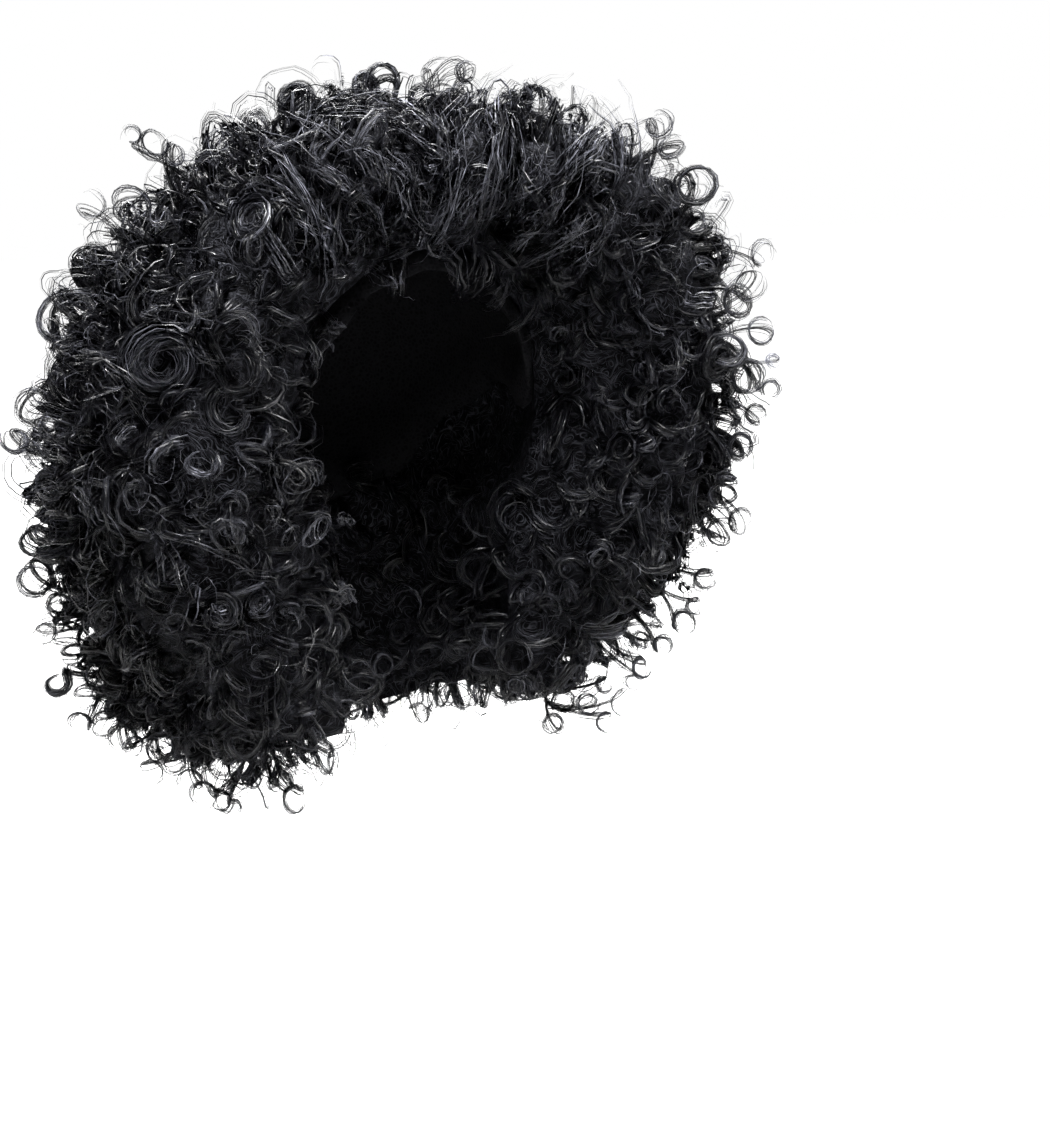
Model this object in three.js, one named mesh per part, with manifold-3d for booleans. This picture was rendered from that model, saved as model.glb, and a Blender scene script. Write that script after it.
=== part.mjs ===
// Afro wig: a thin cap that fits the head and carries eight sections of curly hair.
// Millimetres, +Z up. The origin is the crown of the head, on the inside of the cap.
// The face looks along -Y and the wearer's left is +X.
import * as THREE from "three";
import { mergeVertices } from "three/addons/utils/BufferGeometryUtils.js";
import Module from "manifold-3d";

const wasm = await Module();
wasm.setup();

// The head that the cap fits
const HEAD_WIDTH = 154;
const HEAD_LENGTH = 192;
const HEAD_RISE = 100; // from the widest level up to the crown
const NECK_WIDTH = 126;
const NECK_LENGTH = 150;
const NECK_TOP_DROP = 150; // from the crown down to where the hollow turns into the neck's

// The cap
const CAP_WALL = 1.5;
const SEAT_GAP = 0.3; // between the cap and the hair that sits on it
const HAIRLINE_DROP = 34; // from the crown down to the cap's front edge
const CAP_NAPE_DROP = 166; // from the crown down to the cap's edge at the nape

// The hair, measured from its own centre inside the head out to the tops of its clumps
const HAIR_CENTRE_DROP = 110;
const TOP_REACH = 160;
const LEFT_REACH = 189;
const RIGHT_REACH = 178;
const FRONT_REACH = 186;
const BACK_REACH = 176;
const SIDE_DROP_REACH = 202;
const NAPE_DROP_REACH = 200;
const FORWARD_LEAN = 0.18; // how far the mass moves forward for each step up
const LEFTWARD_LEAN = 0.07; // and how far towards the wearer's left

// The opening for the face
const OPENING_WIDTH = 132;
const OPENING_HEIGHT = 256; // from the hairline down to the hair's lower edge
const LIP_ROUNDING = 27; // how wide the hair's edge round the face turns outwards

// Clumps of curls over the whole surface
const CLUMP_SPACING = 44;
const CLUMP_WIDTH = 66;
const CLUMP_RISE = 15;
const CLUMP_SCATTER = [0.85, 1.15]; // the narrowest and the widest clump, of that width

// Ringlets that stand out of the clumps
const RINGLET_SPACING = 75;
const RINGLET_RADIUS = 11;
const RINGLET_THICKNESS = 6.5;
const RINGLET_SHIFT = 9; // how far its end lies beside its start
const RINGLET_TURNS = 1.1;
const RINGLET_SCATTER = [0.8, 1.25]; // the smallest and the largest ringlet, of that radius

// The cuts between the sections
const SECTION_GAP = 0.4;
const NAPE_LEVEL_DROP = 186; // from the crown down to the cut between back and nape
const CROWN_SPREAD = 37; // degrees from the crown cone's axis to its side
const CROWN_TILT = 14; // degrees that the crown's cone leans back
const TEMPLE_AZIMUTH = 82; // degrees from the front to the cut behind the temple
const BACK_AZIMUTH = 136; // degrees from the front to the cut behind the ear
const FRONT_SHARE = 0.94; // of the face opening's half width, how far the front section reaches

// Fineness of the meshes
const MASS_DETAIL = 13;
const HOLLOW_SEGMENTS = 40;
const CONE_SEGMENTS = 40;
const WEDGE_SEGMENTS = 4;
const CAP_COLUMNS = 36;
const CAP_ROWS = 6;
const EDGE_STEPS = 60;
const RINGLET_SIDES = 5;
const RINGLET_STEPS = 10;

// How full the hair is against an ellipsoid of its reaches, by the angle from straight up
const FULLNESS = [
  { polar: 0, share: 1.0 },
  { polar: 20, share: 1.04 },
  { polar: 42, share: 1.03 },
  { polar: 65, share: 0.99 },
  { polar: 90, share: 1.0 },
  { polar: 105, share: 1.03 },
  { polar: 122, share: 1.07 },
  { polar: 138, share: 1.08 },
  { polar: 150, share: 1.05 },
  { polar: 162, share: 0.95 },
  { polar: 180, share: 0.85 },
];

// The edge of the face opening, from the middle of the hairline down one side. Shares of
// OPENING_HEIGHT below the hairline, of half OPENING_WIDTH and of half HEAD_LENGTH.
const FACE_EDGE = [
  { drop: 0.0, width: 0.0, front: 0.75 },
  { drop: 0.03, width: 0.46, front: 0.74 },
  { drop: 0.1, width: 0.76, front: 0.71 },
  { drop: 0.2, width: 0.94, front: 0.67 },
  { drop: 0.31, width: 1.0, front: 0.65 },
  { drop: 0.57, width: 0.98, front: 0.67 },
  { drop: 0.77, width: 0.85, front: 0.73 },
  { drop: 1.0, width: 0.72, front: 0.83 },
];

// The cap's edge by azimuth: shares of the way from the hairline down to the nape's edge
const CAP_EDGE = [
  { azimuth: 0, share: 0.0 },
  { azimuth: 25, share: 0.05 },
  { azimuth: 45, share: 0.22 },
  { azimuth: 60, share: 0.5 },
  { azimuth: 72, share: 0.6 },
  { azimuth: 90, share: 0.5 },
  { azimuth: 112, share: 0.62 },
  { azimuth: 145, share: 0.92 },
  { azimuth: 180, share: 1.0 },
];

const HAIR_CENTRE = new THREE.Vector3(0, 0, -HAIR_CENTRE_DROP);
const MEAN_REACH = (LEFT_REACH + RIGHT_REACH) / 2;
const FAR_OUT = 2 * (MEAN_REACH + SIDE_DROP_REACH);
const LIP_TURN = LIP_ROUNDING / MEAN_REACH;
const HOLLOW_GROWTH = CAP_WALL + SEAT_GAP;
const { degToRad, radToDeg, clamp, lerp } = THREE.MathUtils;

const hairMaterial = new THREE.MeshStandardMaterial({
  name: "hair",
  color: 0x101013,
  roughness: 0.55,
  metalness: 0,
});
const capMaterial = new THREE.MeshStandardMaterial({
  name: "cap",
  color: 0x17171a,
  roughness: 0.9,
  metalness: 0,
});

// A closed geometry as a solid.
function solidOf(geometry) {
  const bare = geometry.clone();
  bare.deleteAttribute("normal");
  bare.deleteAttribute("uv");
  const merged = mergeVertices(bare);
  const mesh = new wasm.Mesh({
    numProp: 3,
    vertProperties: new Float32Array(merged.attributes.position.array),
    triVerts: new Uint32Array(merged.index.array),
  });
  return new wasm.Manifold(mesh);
}

function geometryOf(solid) {
  const mesh = solid.getMesh();
  const geometry = new THREE.BufferGeometry();
  geometry.setAttribute("position", new THREE.BufferAttribute(mesh.vertProperties, mesh.numProp));
  geometry.setIndex(new THREE.BufferAttribute(mesh.triVerts, 1));
  geometry.computeVertexNormals();
  return geometry;
}

// A table's column read smoothly between its rows.
function between(rows, key, column, at) {
  const next = rows.findIndex((row) => row[key] > at);
  if (next < 0) return rows[rows.length - 1][column];
  if (next === 0) return rows[0][column];
  const low = rows[next - 1];
  const high = rows[next];
  const share = (at - low[key]) / (high[key] - low[key]);
  return lerp(low[column], high[column], THREE.MathUtils.smoothstep(share, 0, 1));
}

// A number from low to high that depends only on the index and on what it is for.
function scattered(index, purpose, low, high) {
  const purposes = 16;
  return lerp(low, high, THREE.MathUtils.seededRandom(index * purposes + purpose));
}

// Degrees from the front towards the left ear, and degrees from straight up.
function anglesOf(direction) {
  return {
    azimuth: radToDeg(Math.atan2(direction.x, -direction.y)),
    polar: radToDeg(Math.acos(clamp(direction.z, -1, 1))),
  };
}

function directionAt(azimuth, polar) {
  const ring = Math.sin(degToRad(polar));
  return new THREE.Vector3(
    ring * Math.sin(degToRad(azimuth)),
    -ring * Math.cos(degToRad(azimuth)),
    Math.cos(degToRad(polar)),
  );
}

// Directions over the whole sphere, about one for each square of the spacing on the hair.
function spreadDirections(spacing, unevenness) {
  const count = Math.round(4 * Math.PI * (MEAN_REACH / spacing) ** 2);
  const turn = Math.PI * (3 - Math.sqrt(5));
  const shift = (unevenness * spacing) / MEAN_REACH / 2;
  return Array.from({ length: count }, (_, i) => {
    const height = 1 - (2 * i + 1) / count;
    const ring = Math.sqrt(1 - height * height);
    return new THREE.Vector3(
      ring * Math.cos(i * turn) + scattered(i, 1, -shift, shift),
      ring * Math.sin(i * turn) + scattered(i, 2, -shift, shift),
      height + scattered(i, 3, -shift, shift),
    ).normalize();
  });
}

// The edge of the face opening as angles seen from the hair's centre, down the left side.
const edgeRows = FACE_EDGE.map((row) => {
  const place = new THREE.Vector3(
    (row.width * OPENING_WIDTH) / 2,
    (-row.front * HEAD_LENGTH) / 2,
    -HAIRLINE_DROP - row.drop * OPENING_HEIGHT,
  );
  return anglesOf(place.sub(HAIR_CENTRE).normalize());
});
const edgeTop = edgeRows[0].polar;
const edgeBottom = edgeRows[edgeRows.length - 1].polar;
const edgeDirections = Array.from({ length: EDGE_STEPS + 1 }, (_, i) => {
  const polar = lerp(edgeTop, edgeBottom, i / EDGE_STEPS);
  return directionAt(between(edgeRows, "polar", "azimuth", polar), polar);
});

// How far a direction lies outside the face opening, in radians. Inside it is below 0.
function awayFromFace(direction) {
  const mirrored = new THREE.Vector3(Math.abs(direction.x), direction.y, direction.z);
  const nearest = Math.min(...edgeDirections.map((edge) => edge.angleTo(mirrored)));
  const { azimuth, polar } = anglesOf(mirrored);
  const open = polar > edgeTop && azimuth < between(edgeRows, "polar", "azimuth", polar);
  return open ? -nearest : nearest;
}

// The reach of the clumps' tops in a direction: an ellipsoid that leans, times the fullness.
function fullReach(direction) {
  const across = direction.x - LEFTWARD_LEAN * direction.z;
  const along = direction.y + FORWARD_LEAN * direction.z;
  const width = across < 0 ? RIGHT_REACH : LEFT_REACH;
  const length = along < 0 ? FRONT_REACH : BACK_REACH;
  const backness = Math.sqrt(clamp(direction.y, 0, 1));
  const drop = lerp(SIDE_DROP_REACH, NAPE_DROP_REACH, backness);
  const height = direction.z > 0 ? TOP_REACH : drop;
  const share = between(FULLNESS, "polar", "share", anglesOf(direction).polar);
  return share / Math.hypot(across / width, along / length, direction.z / height);
}

const clumps = spreadDirections(CLUMP_SPACING, 0.7).map((direction, i) => ({
  direction,
  halfWidth: (scattered(i, 4, ...CLUMP_SCATTER) * CLUMP_WIDTH) / 2 / MEAN_REACH,
}));

// The hair's reach in a direction: a clump's domed top, or the crease between clumps.
function clumpedReach(direction) {
  const heights = clumps.map((clump) => {
    const off = clump.direction.angleTo(direction) / clump.halfWidth;
    return off < 1 ? Math.sqrt(1 - off * off) : 0;
  });
  return fullReach(direction) - CLUMP_RISE * (1 - Math.max(...heights));
}

// The outer form as one body with no hollow. In the face opening it lies so deep inside the
// head that cutting the hollow leaves nothing of it there.
function hairMass() {
  const ball = new THREE.IcosahedronGeometry(1, MASS_DETAIL);
  const places = ball.attributes.position;
  const seated = HEAD_WIDTH / 2 + HOLLOW_GROWTH;
  const buried = seated / 2;
  const direction = new THREE.Vector3();
  for (let i = 0; i < places.count; i++) {
    direction.fromBufferAttribute(places, i).normalize();
    const away = awayFromFace(direction);
    const rounding = 1 - clamp(away / LIP_TURN, 0, 1);
    const outside = lerp(seated, clumpedReach(direction), Math.sqrt(1 - rounding * rounding));
    direction.multiplyScalar(away < 0 ? buried : outside).add(HAIR_CENTRE);
    places.setXYZ(i, direction.x, direction.y, direction.z);
  }
  return solidOf(ball);
}

// The room for the head in its cap, and for the neck down through the hair.
function hollow() {
  // The sphere's flat faces, not only its corners, have to clear the cap.
  const unit = Math.cos(Math.PI / HOLLOW_SEGMENTS) ** -2;
  const head = new THREE.SphereGeometry(unit, HOLLOW_SEGMENTS, HOLLOW_SEGMENTS / 2)
    .rotateX(Math.PI / 2)
    .scale(
      HEAD_WIDTH / 2 + HOLLOW_GROWTH,
      HEAD_LENGTH / 2 + HOLLOW_GROWTH,
      HEAD_RISE + HOLLOW_GROWTH,
    )
    .translate(0, 0, -HEAD_RISE);
  const neck = new THREE.CylinderGeometry(1, 1, FAR_OUT, HOLLOW_SEGMENTS)
    .rotateX(Math.PI / 2)
    .scale(NECK_WIDTH / 2, NECK_LENGTH / 2, 1)
    .translate(0, 0, -NECK_TOP_DROP - FAR_OUT / 2);
  return solidOf(head).add(solidOf(neck));
}

// The sections round the head, from azimuth to azimuth. The front one spans the forehead only,
// so its cuts keep inside the edge of the face opening all the way down.
const sideEdges = edgeRows.filter((row) => row.polar > 90);
const frontAzimuth = FRONT_SHARE * Math.min(...sideEdges.map((row) => row.azimuth));
const sections = [
  { name: "hair_front", from: -frontAzimuth, to: frontAzimuth },
  { name: "hair_temple_left", from: frontAzimuth, to: TEMPLE_AZIMUTH },
  { name: "hair_side_left", from: TEMPLE_AZIMUTH, to: BACK_AZIMUTH },
  { name: "hair_back", from: BACK_AZIMUTH, to: 360 - BACK_AZIMUTH, above: -NAPE_LEVEL_DROP },
  { name: "hair_nape", from: BACK_AZIMUTH, to: 360 - BACK_AZIMUTH, below: -NAPE_LEVEL_DROP },
  { name: "hair_side_right", from: 360 - BACK_AZIMUTH, to: 360 - TEMPLE_AZIMUTH },
  { name: "hair_temple_right", from: 360 - TEMPLE_AZIMUTH, to: 360 - frontAzimuth },
];

// The wedge that holds a section, half the gap inside each of its cuts.
function wedge({ from, to, above, below }) {
  const half = degToRad(to - from) / 2;
  const apex = SECTION_GAP / 2 / Math.sin(half);
  const outline = new THREE.Shape([new THREE.Vector2(apex, 0)]);
  for (let i = 0; i <= WEDGE_SEGMENTS; i++) {
    const turn = lerp(-half, half, i / WEDGE_SEGMENTS);
    outline.lineTo(apex + FAR_OUT * Math.cos(turn), FAR_OUT * Math.sin(turn));
  }
  const bottom = above === undefined ? -FAR_OUT : above + SECTION_GAP / 2;
  const top = below === undefined ? FAR_OUT : below - SECTION_GAP / 2;
  const prism = new THREE.ExtrudeGeometry(outline, { depth: top - bottom, bevelEnabled: false })
    .rotateZ(degToRad((from + to) / 2) - Math.PI / 2)
    .translate(0, 0, bottom);
  return solidOf(prism);
}

const crownAxis = directionAt(180, CROWN_TILT);

// The cone between the crown and the sections round it, with its side moved out by grow.
function crownCone(grow) {
  const spread = degToRad(CROWN_SPREAD);
  const cone = new THREE.ConeGeometry(FAR_OUT * Math.tan(spread), FAR_OUT, CONE_SEGMENTS)
    .rotateX(-Math.PI / 2)
    .translate(0, 0, FAR_OUT / 2 - grow / Math.sin(spread))
    .rotateX(-degToRad(CROWN_TILT))
    .translate(HAIR_CENTRE.x, HAIR_CENTRE.y, HAIR_CENTRE.z);
  return solidOf(cone);
}

// One ringlet: a tube that leaves the hair, turns a little over once and ends beside its start.
function ringlet(direction, index) {
  const radius = scattered(index, 5, ...RINGLET_SCATTER) * RINGLET_RADIUS;
  const anyWay = directionAt(scattered(index, 6, 0, 360), scattered(index, 7, 0, 180));
  const across = anyWay.cross(direction).normalize();
  const beside = new THREE.Vector3().crossVectors(direction, across);
  const depth = clumpedReach(direction) - RINGLET_THICKNESS;
  const root = direction.clone().multiplyScalar(depth).add(HAIR_CENTRE);
  const place = (out, over, side) =>
    root
      .clone()
      .addScaledVector(direction, out)
      .addScaledVector(across, over)
      .addScaledVector(beside, side);
  const bends = RINGLET_STEPS - 2;
  const points = [place(-radius / 2, -radius, 0)];
  for (let i = 0; i <= bends; i++) {
    const turn = (RINGLET_TURNS * i) / bends - 0.25;
    const out = radius * (1 + Math.sin(2 * Math.PI * turn)) + RINGLET_THICKNESS / 4;
    const over = radius * Math.cos(2 * Math.PI * turn);
    points.push(place(out, over, (RINGLET_SHIFT * i) / bends));
  }
  const corners = Array.from({ length: RINGLET_SIDES }, (_, i) => {
    const turn = (2 * Math.PI * i) / RINGLET_SIDES;
    return new THREE.Vector2(Math.cos(turn), Math.sin(turn)).multiplyScalar(RINGLET_THICKNESS / 2);
  });
  const tube = new THREE.ExtrudeGeometry(new THREE.Shape(corners), {
    steps: RINGLET_STEPS,
    extrudePath: new THREE.CatmullRomCurve3(points),
  });
  return solidOf(tube);
}

// The name of the section that has room for a whole ringlet in a direction, if there is one.
function sectionFor(direction) {
  const reach = fullReach(direction);
  const room = RINGLET_SCATTER[1] * RINGLET_RADIUS + RINGLET_THICKNESS / 2 + RINGLET_SHIFT;
  const pastCrown = (crownAxis.angleTo(direction) - degToRad(CROWN_SPREAD)) * reach;
  const onLip = awayFromFace(direction) < LIP_TURN;
  const fromAxis = reach * Math.hypot(direction.x, direction.y);
  const overNeck = direction.z < 0 && fromAxis < NECK_LENGTH / 2 + room;
  if (Math.abs(pastCrown) < room || onLip || overNeck) return undefined;
  if (pastCrown < 0) return "hair_crown";
  const height = HAIR_CENTRE.z + direction.z * reach;
  const margin = radToDeg(room / fromAxis);
  const found = sections.find(({ from, to, above = -FAR_OUT, below = FAR_OUT }) => {
    const { azimuth } = anglesOf(direction);
    const turned = azimuth < from ? azimuth + 360 : azimuth;
    const inLevels = height > above + room && height < below - room;
    return inLevels && turned > from + margin && turned < to - margin;
  });
  return found?.name;
}

// Every section cut from the one mass and fused with its own ringlets.
function hairSections() {
  const hair = hairMass().subtract(hollow());
  const roundCrown = hair.subtract(crownCone(SECTION_GAP / 2));
  const solids = new Map([["hair_crown", hair.intersect(crownCone(-SECTION_GAP / 2))]]);
  for (const section of sections) {
    solids.set(section.name, roundCrown.intersect(wedge(section)));
  }
  spreadDirections(RINGLET_SPACING, 0.5).forEach((direction, index) => {
    const name = sectionFor(direction);
    if (name) solids.set(name, solids.get(name).add(ringlet(direction, index)));
  });
  return solids;
}

// The cap: a shell on the head's form whose edge runs over the forehead, down in front of the
// ears and round to the nape.
function capShell() {
  // In the lathe the radius counts rows from the crown, and the height tells outside from inside.
  const profile = [];
  for (let i = 0; i <= CAP_ROWS; i++) profile.push(new THREE.Vector2(i, 0));
  for (let i = CAP_ROWS; i >= 0; i--) profile.push(new THREE.Vector2(i, 1));
  const shell = new THREE.LatheGeometry(profile, CAP_COLUMNS);
  const places = shell.attributes.position;
  for (let i = 0; i < places.count; i++) {
    const row = Math.hypot(places.getX(i), places.getZ(i)) / CAP_ROWS;
    const azimuth = Math.atan2(places.getX(i), places.getZ(i));
    const downShare = between(CAP_EDGE, "azimuth", "share", Math.abs(radToDeg(azimuth)));
    const edgeDrop = lerp(HAIRLINE_DROP, CAP_NAPE_DROP, downShare);
    const polar = row * Math.acos(1 - edgeDrop / HEAD_RISE);
    const wall = places.getY(i) * CAP_WALL;
    places.setXYZ(
      i,
      (HEAD_WIDTH / 2 + wall) * Math.sin(polar) * Math.sin(azimuth),
      -(HEAD_LENGTH / 2 + wall) * Math.sin(polar) * Math.cos(azimuth),
      (HEAD_RISE + wall) * Math.cos(polar) - HEAD_RISE,
    );
  }
  return solidOf(shell);
}

const wig = new THREE.Group();

function addPiece(name, solid, material) {
  const mesh = new THREE.Mesh(geometryOf(solid), material);
  mesh.name = name;
  wig.add(mesh);
}

addPiece("cap", capShell(), capMaterial);
for (const [name, solid] of hairSections()) addPiece(name, solid, hairMaterial);

export default wig;
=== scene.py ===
# Afro wig of black ringlets on a thin cap. Metres, +Z up, the face towards -Y.
import math

import bmesh
import bpy
import numpy as np
from mathutils import Matrix, Vector, noise
from mathutils.bvhtree import BVHTree


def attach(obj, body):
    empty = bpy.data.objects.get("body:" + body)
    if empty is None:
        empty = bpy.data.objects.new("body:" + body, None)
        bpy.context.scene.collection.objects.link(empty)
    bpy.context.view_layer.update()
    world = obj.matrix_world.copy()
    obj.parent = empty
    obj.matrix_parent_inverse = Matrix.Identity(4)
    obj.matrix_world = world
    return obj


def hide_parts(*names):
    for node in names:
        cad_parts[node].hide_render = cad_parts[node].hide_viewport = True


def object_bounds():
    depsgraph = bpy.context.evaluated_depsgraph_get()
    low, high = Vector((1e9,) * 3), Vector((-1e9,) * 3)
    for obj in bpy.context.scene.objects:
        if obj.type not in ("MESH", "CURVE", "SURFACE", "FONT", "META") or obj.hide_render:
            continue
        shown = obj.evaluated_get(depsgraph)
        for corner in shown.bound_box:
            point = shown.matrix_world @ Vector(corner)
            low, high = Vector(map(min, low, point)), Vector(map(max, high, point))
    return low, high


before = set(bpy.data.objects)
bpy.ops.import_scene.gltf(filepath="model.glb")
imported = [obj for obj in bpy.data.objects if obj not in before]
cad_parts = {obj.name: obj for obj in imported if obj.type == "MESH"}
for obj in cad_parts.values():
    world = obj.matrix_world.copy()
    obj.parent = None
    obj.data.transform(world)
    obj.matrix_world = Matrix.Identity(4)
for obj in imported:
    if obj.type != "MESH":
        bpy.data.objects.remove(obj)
cad_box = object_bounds()

MM = 0.001
HAIR_CENTRE = np.array((0.0, 0.0, -0.110))
HAIR_NODES = sorted(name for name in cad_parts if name.startswith("hair_"))

# The photograph's frame in pixels, and its camera
FRAME_WIDTH, FRAME_HEIGHT = 1050, 1148
CENTRE_PIXEL = (374, 412)  # where the hair's centre lies in the photograph
CAMERA_AZIMUTH = math.radians(-25.5)
CAMERA_ELEVATION = math.radians(6.2)
CAMERA_ROLL = math.radians(-3.2)
CAMERA_DISTANCE = 1.10
FOCAL_PIXELS = 2058
SENSOR = 36.0

# The dense hair at the roots, under the strands
ROOT_DEPTH = 6 * MM  # below the solids' surface
ROOT_WALL = 2 * MM  # between its inside and the solids' inside
CREVICE_DEPTH = 9 * MM  # of the dips between its tufts
TUFT_SIZE = 34 * MM
JOINT_GAP = 8 * MM  # the widest gap between two sections that a ray counts as hair
BALL_SUBDIVISIONS = 5
WALL_CUTS = 7
ORDER_STEP = 2 ** 15  # more than twice the ball's corners
CAP_ROOM = 6 * MM  # beside the cap, in which no lock has its root
SEAT_ROOM = 0.5 * MM  # over the cap, from where a ray looks for hair
EDGE_REACH = 200 * MM
EDGE_ROUNDS = 6  # of smoothing, which round the edges of the openings
CAP_EDGE_ANGLE = math.radians(50)
CAP_SPLITS = 1  # of each edge, to smooth it

# Strands: a lock is a few flat bands of hairs, which show between gaps, with single hairs round them
STRAND_SIDES = 3
SIDE_EDGES = np.array((0, 0.5, 0.75, 1))  # where the sides of a flat band meet, round it
SHADES = 16
DARKEST = 0.12  # of a strand's shade under the painted shade beside the cap
DARK_REACH = 26 * MM  # from the cap, where painted shade makes the hair darker
HAIR_MAP = (0.02, 0.08)  # the part of a shade's place on the map that single hairs take,
BAND_MAP = (0.14, 0.52)  # the part that dense bands take,
WISP_MAP = (0.60, 0.98)  # and the part that wisps take, which are mostly gaps
HAIR_THICKNESS = 0.32 * MM
FINE_THICKNESS = 0.24 * MM
BAND_FLATNESS = 0.3  # of a band's thickness to its width
WISP_FLATNESS = 0.15
HAIRS_ACROSS = 50  # drawn over the whole of a shade's place
DASHES = 16  # painted highlights, dashes along a hair where it catches the light
GAPS = 1.2  # along a band, how often its hairs part and meet
STEM_SHARE = 0.2  # of a lock's length, drawn in to its root, and more for a root far away
STEM_GROWTH = 12  # of that share for each metre

# Kinds of lock. Lengths in millimetres, angles in degrees, each as a range from which every lock
# draws its own. The tilt turns a curl's axis away from straight out, top is how far the curl stands
# over the solids, flare how much wider it ends than it starts, and fan how its hairs differ in width.
FIELD = dict(
    bands=2, wisps=2, hairs=0, steps=11, band=(1.6, 4.4), curl=(5, 13), turns=(0.7, 1.25), pitch=(2, 8), tilt=(15, 85),
    top=(-4, 6), flare=(-0.55, 0.3), fan=0.2, spread=1.7, wobble=1.2, entry=4,
)
RINGS = dict(
    bands=2, wisps=1, hairs=2, steps=16, band=(1.0, 3.0), curl=(3.5, 11), turns=(0.9, 1.7), pitch=(1, 8), tilt=(35, 90),
    top=(4, 18), flare=(-0.5, 0.2), fan=0.12, spread=0.9, wobble=1.3, entry=4,
)
ROSETTES = dict(
    bands=4, wisps=3, hairs=3, steps=26, band=(1.6, 3.4), curl=(8, 15), turns=(1.6, 2.5), pitch=(-3, 3), tilt=(0, 30),
    top=(1, 6), flare=(-0.75, -0.4), fan=0.2, spread=1.4, wobble=1.6, entry=6,
)
BRUSHED = dict(
    bands=1, wisps=5, hairs=2, steps=8, band=(1.2, 2.6), curl=(17, 36), turns=(0.16, 0.3), pitch=(-8, 8),
    tilt=(86, 90), top=(1, 9), flare=(-0.35, 0.4), fan=0.2, spread=3.0, wobble=2.3, entry=4,
)
OPEN_FIELD = dict(FIELD, wisps=0, hairs=2, curl=(5, 10), turns=(0.9, 1.5), spread=1.0, wobble=1.0)
EDGE = dict(BRUSHED, bands=3, wisps=2, band=(2.0, 4.5), curl=(9, 20), turns=(0.2, 0.4), top=(-3, 4), entry=1)
HANGING = dict(RINGS, bands=3, wisps=0, hairs=3, curl=(5, 11), turns=(0.8, 1.3), tilt=(65, 90), top=(6, 15))
FRIZZ = dict(
    bands=0, wisps=1, hairs=0, steps=14, band=(1, 1), curl=(5, 17), turns=(0.6, 1.3), pitch=(2, 14), tilt=(40, 90),
    top=(4, 24), flare=(-0.4, 0.6), fan=0.2, spread=3.0, wobble=2.2, entry=4,
)
FINE = dict(
    bands=0, wisps=0, hairs=1, steps=10, band=(1, 1), curl=(3, 9), turns=(0.4, 1.1), pitch=(1, 8), tilt=(10, 80),
    top=(-1, 9), flare=(-0.4, 0.4), fan=0, spread=0, wobble=1.6, entry=3,
)
PHOTO_RINGS = dict(
    RINGS, bands=5, wisps=0, hairs=4, steps=24, flare=(-0.4, -0.1), fan=0.07, spread=0.6, wobble=0.8,
)
PHOTO_ROSETTES = dict(
    ROSETTES, bands=5, wisps=6, hairs=8, steps=30, flare=(-0.75, -0.5), fan=0.13, spread=1.0, wobble=1.2,
)
WISP_WIDTH = (5, 11)
SINGLE_SHINE = 0.25  # painted highlight: how much paler single hairs are than bands
SQUEEZE = (0.72, 1.12)  # how wide a curl is for its height
FIELD_SPACING = 15.2 * MM
INNER_SPACING = 18 * MM
RING_SPACING = 31 * MM
LOW_RING_SPACING = 24 * MM
LOW_LEVEL = -0.235  # below which more rings hang
BACK_DEPTH = 0.03  # behind which the curls are looser, as they are below that level
# painted shade: how much darker the looser curls are, low down and at the back
OPEN_SHINE = -0.12
ROSETTE_SPACING = 90 * MM
BRUSHED_SPACING = 9 * MM
EDGE_SPACING = 7 * MM
FRIZZ_SPACING = 15.5 * MM
FINE_SPACING = 15.5 * MM
FLOW_SIZE = 36 * MM  # over which neighbouring curls turn alike
LIFT = 10 * MM  # how much further the curls stand out here and there
LIFT_SIZE = 52 * MM

# Where the photograph's outline bulges or falls back against the solids: pixel, millimetres
BULGES = (
    (672, 170, 12), (705, 255, 7), (735, 400, 6), (728, 500, 5), (640, 650, -8),
    (48, 600, -13), (85, 690, -12), (120, 160, -2),
)
BULGE_SPREAD = math.radians(24)

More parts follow.
